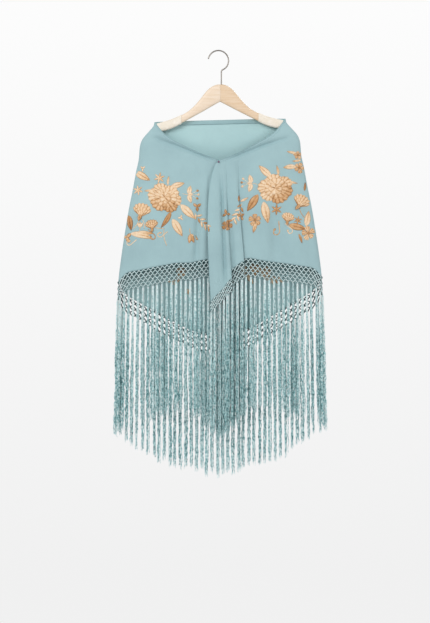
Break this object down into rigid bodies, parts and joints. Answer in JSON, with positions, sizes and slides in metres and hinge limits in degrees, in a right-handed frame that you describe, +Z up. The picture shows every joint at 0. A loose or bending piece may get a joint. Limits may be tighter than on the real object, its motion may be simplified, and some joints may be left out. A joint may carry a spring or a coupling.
{
  "type": "flamenco shawl on a wooden hanger",
  "caption": "Fringed triangular crepe shawl with a knotted net edge, folded over a wooden clothes hanger and pinned in front, hanging from the hanger's hook.",
  "frame": {"origin": "the point under the top of the hook's wire where a rail bears; the part hangs below it", "axes": "+X to the viewer's right as seen from the front, +Y to the back of the shawl, +Z up"},
  "size_m": [0.54, 0.0662, 1.112],
  "materials": {
    "crepe": "matt dusty aqua crepe",
    "fringe_cord": "soft silky aqua cord",
    "pale_wood": "pale satin-lacquered wood",
    "pad_felt": "ribbed cream pad",
    "hook_steel": "plain grey steel wire",
    "pin_enamel": "glossy dark pin head"
  },
  "bodies": {
    "root": {"shawl_front_right": "crepe", "shawl_front_left": "crepe", "shawl_back": "crepe", "neck_hem": "crepe", "net_front_right": "fringe_cord", "net_front_left": "fringe_cord", "net_back": "fringe_cord", "fringe_front_right": "fringe_cord", "fringe_front_left": "fringe_cord", "fringe_back": "fringe_cord", "hanger_arm_right": "pale_wood", "hanger_arm_left": "pale_wood", "pad_right": "pad_felt", "pad_left": "pad_felt", "hanger_hook": "hook_steel", "pin_head": "pin_enamel"}
  },
  "joints": []
}
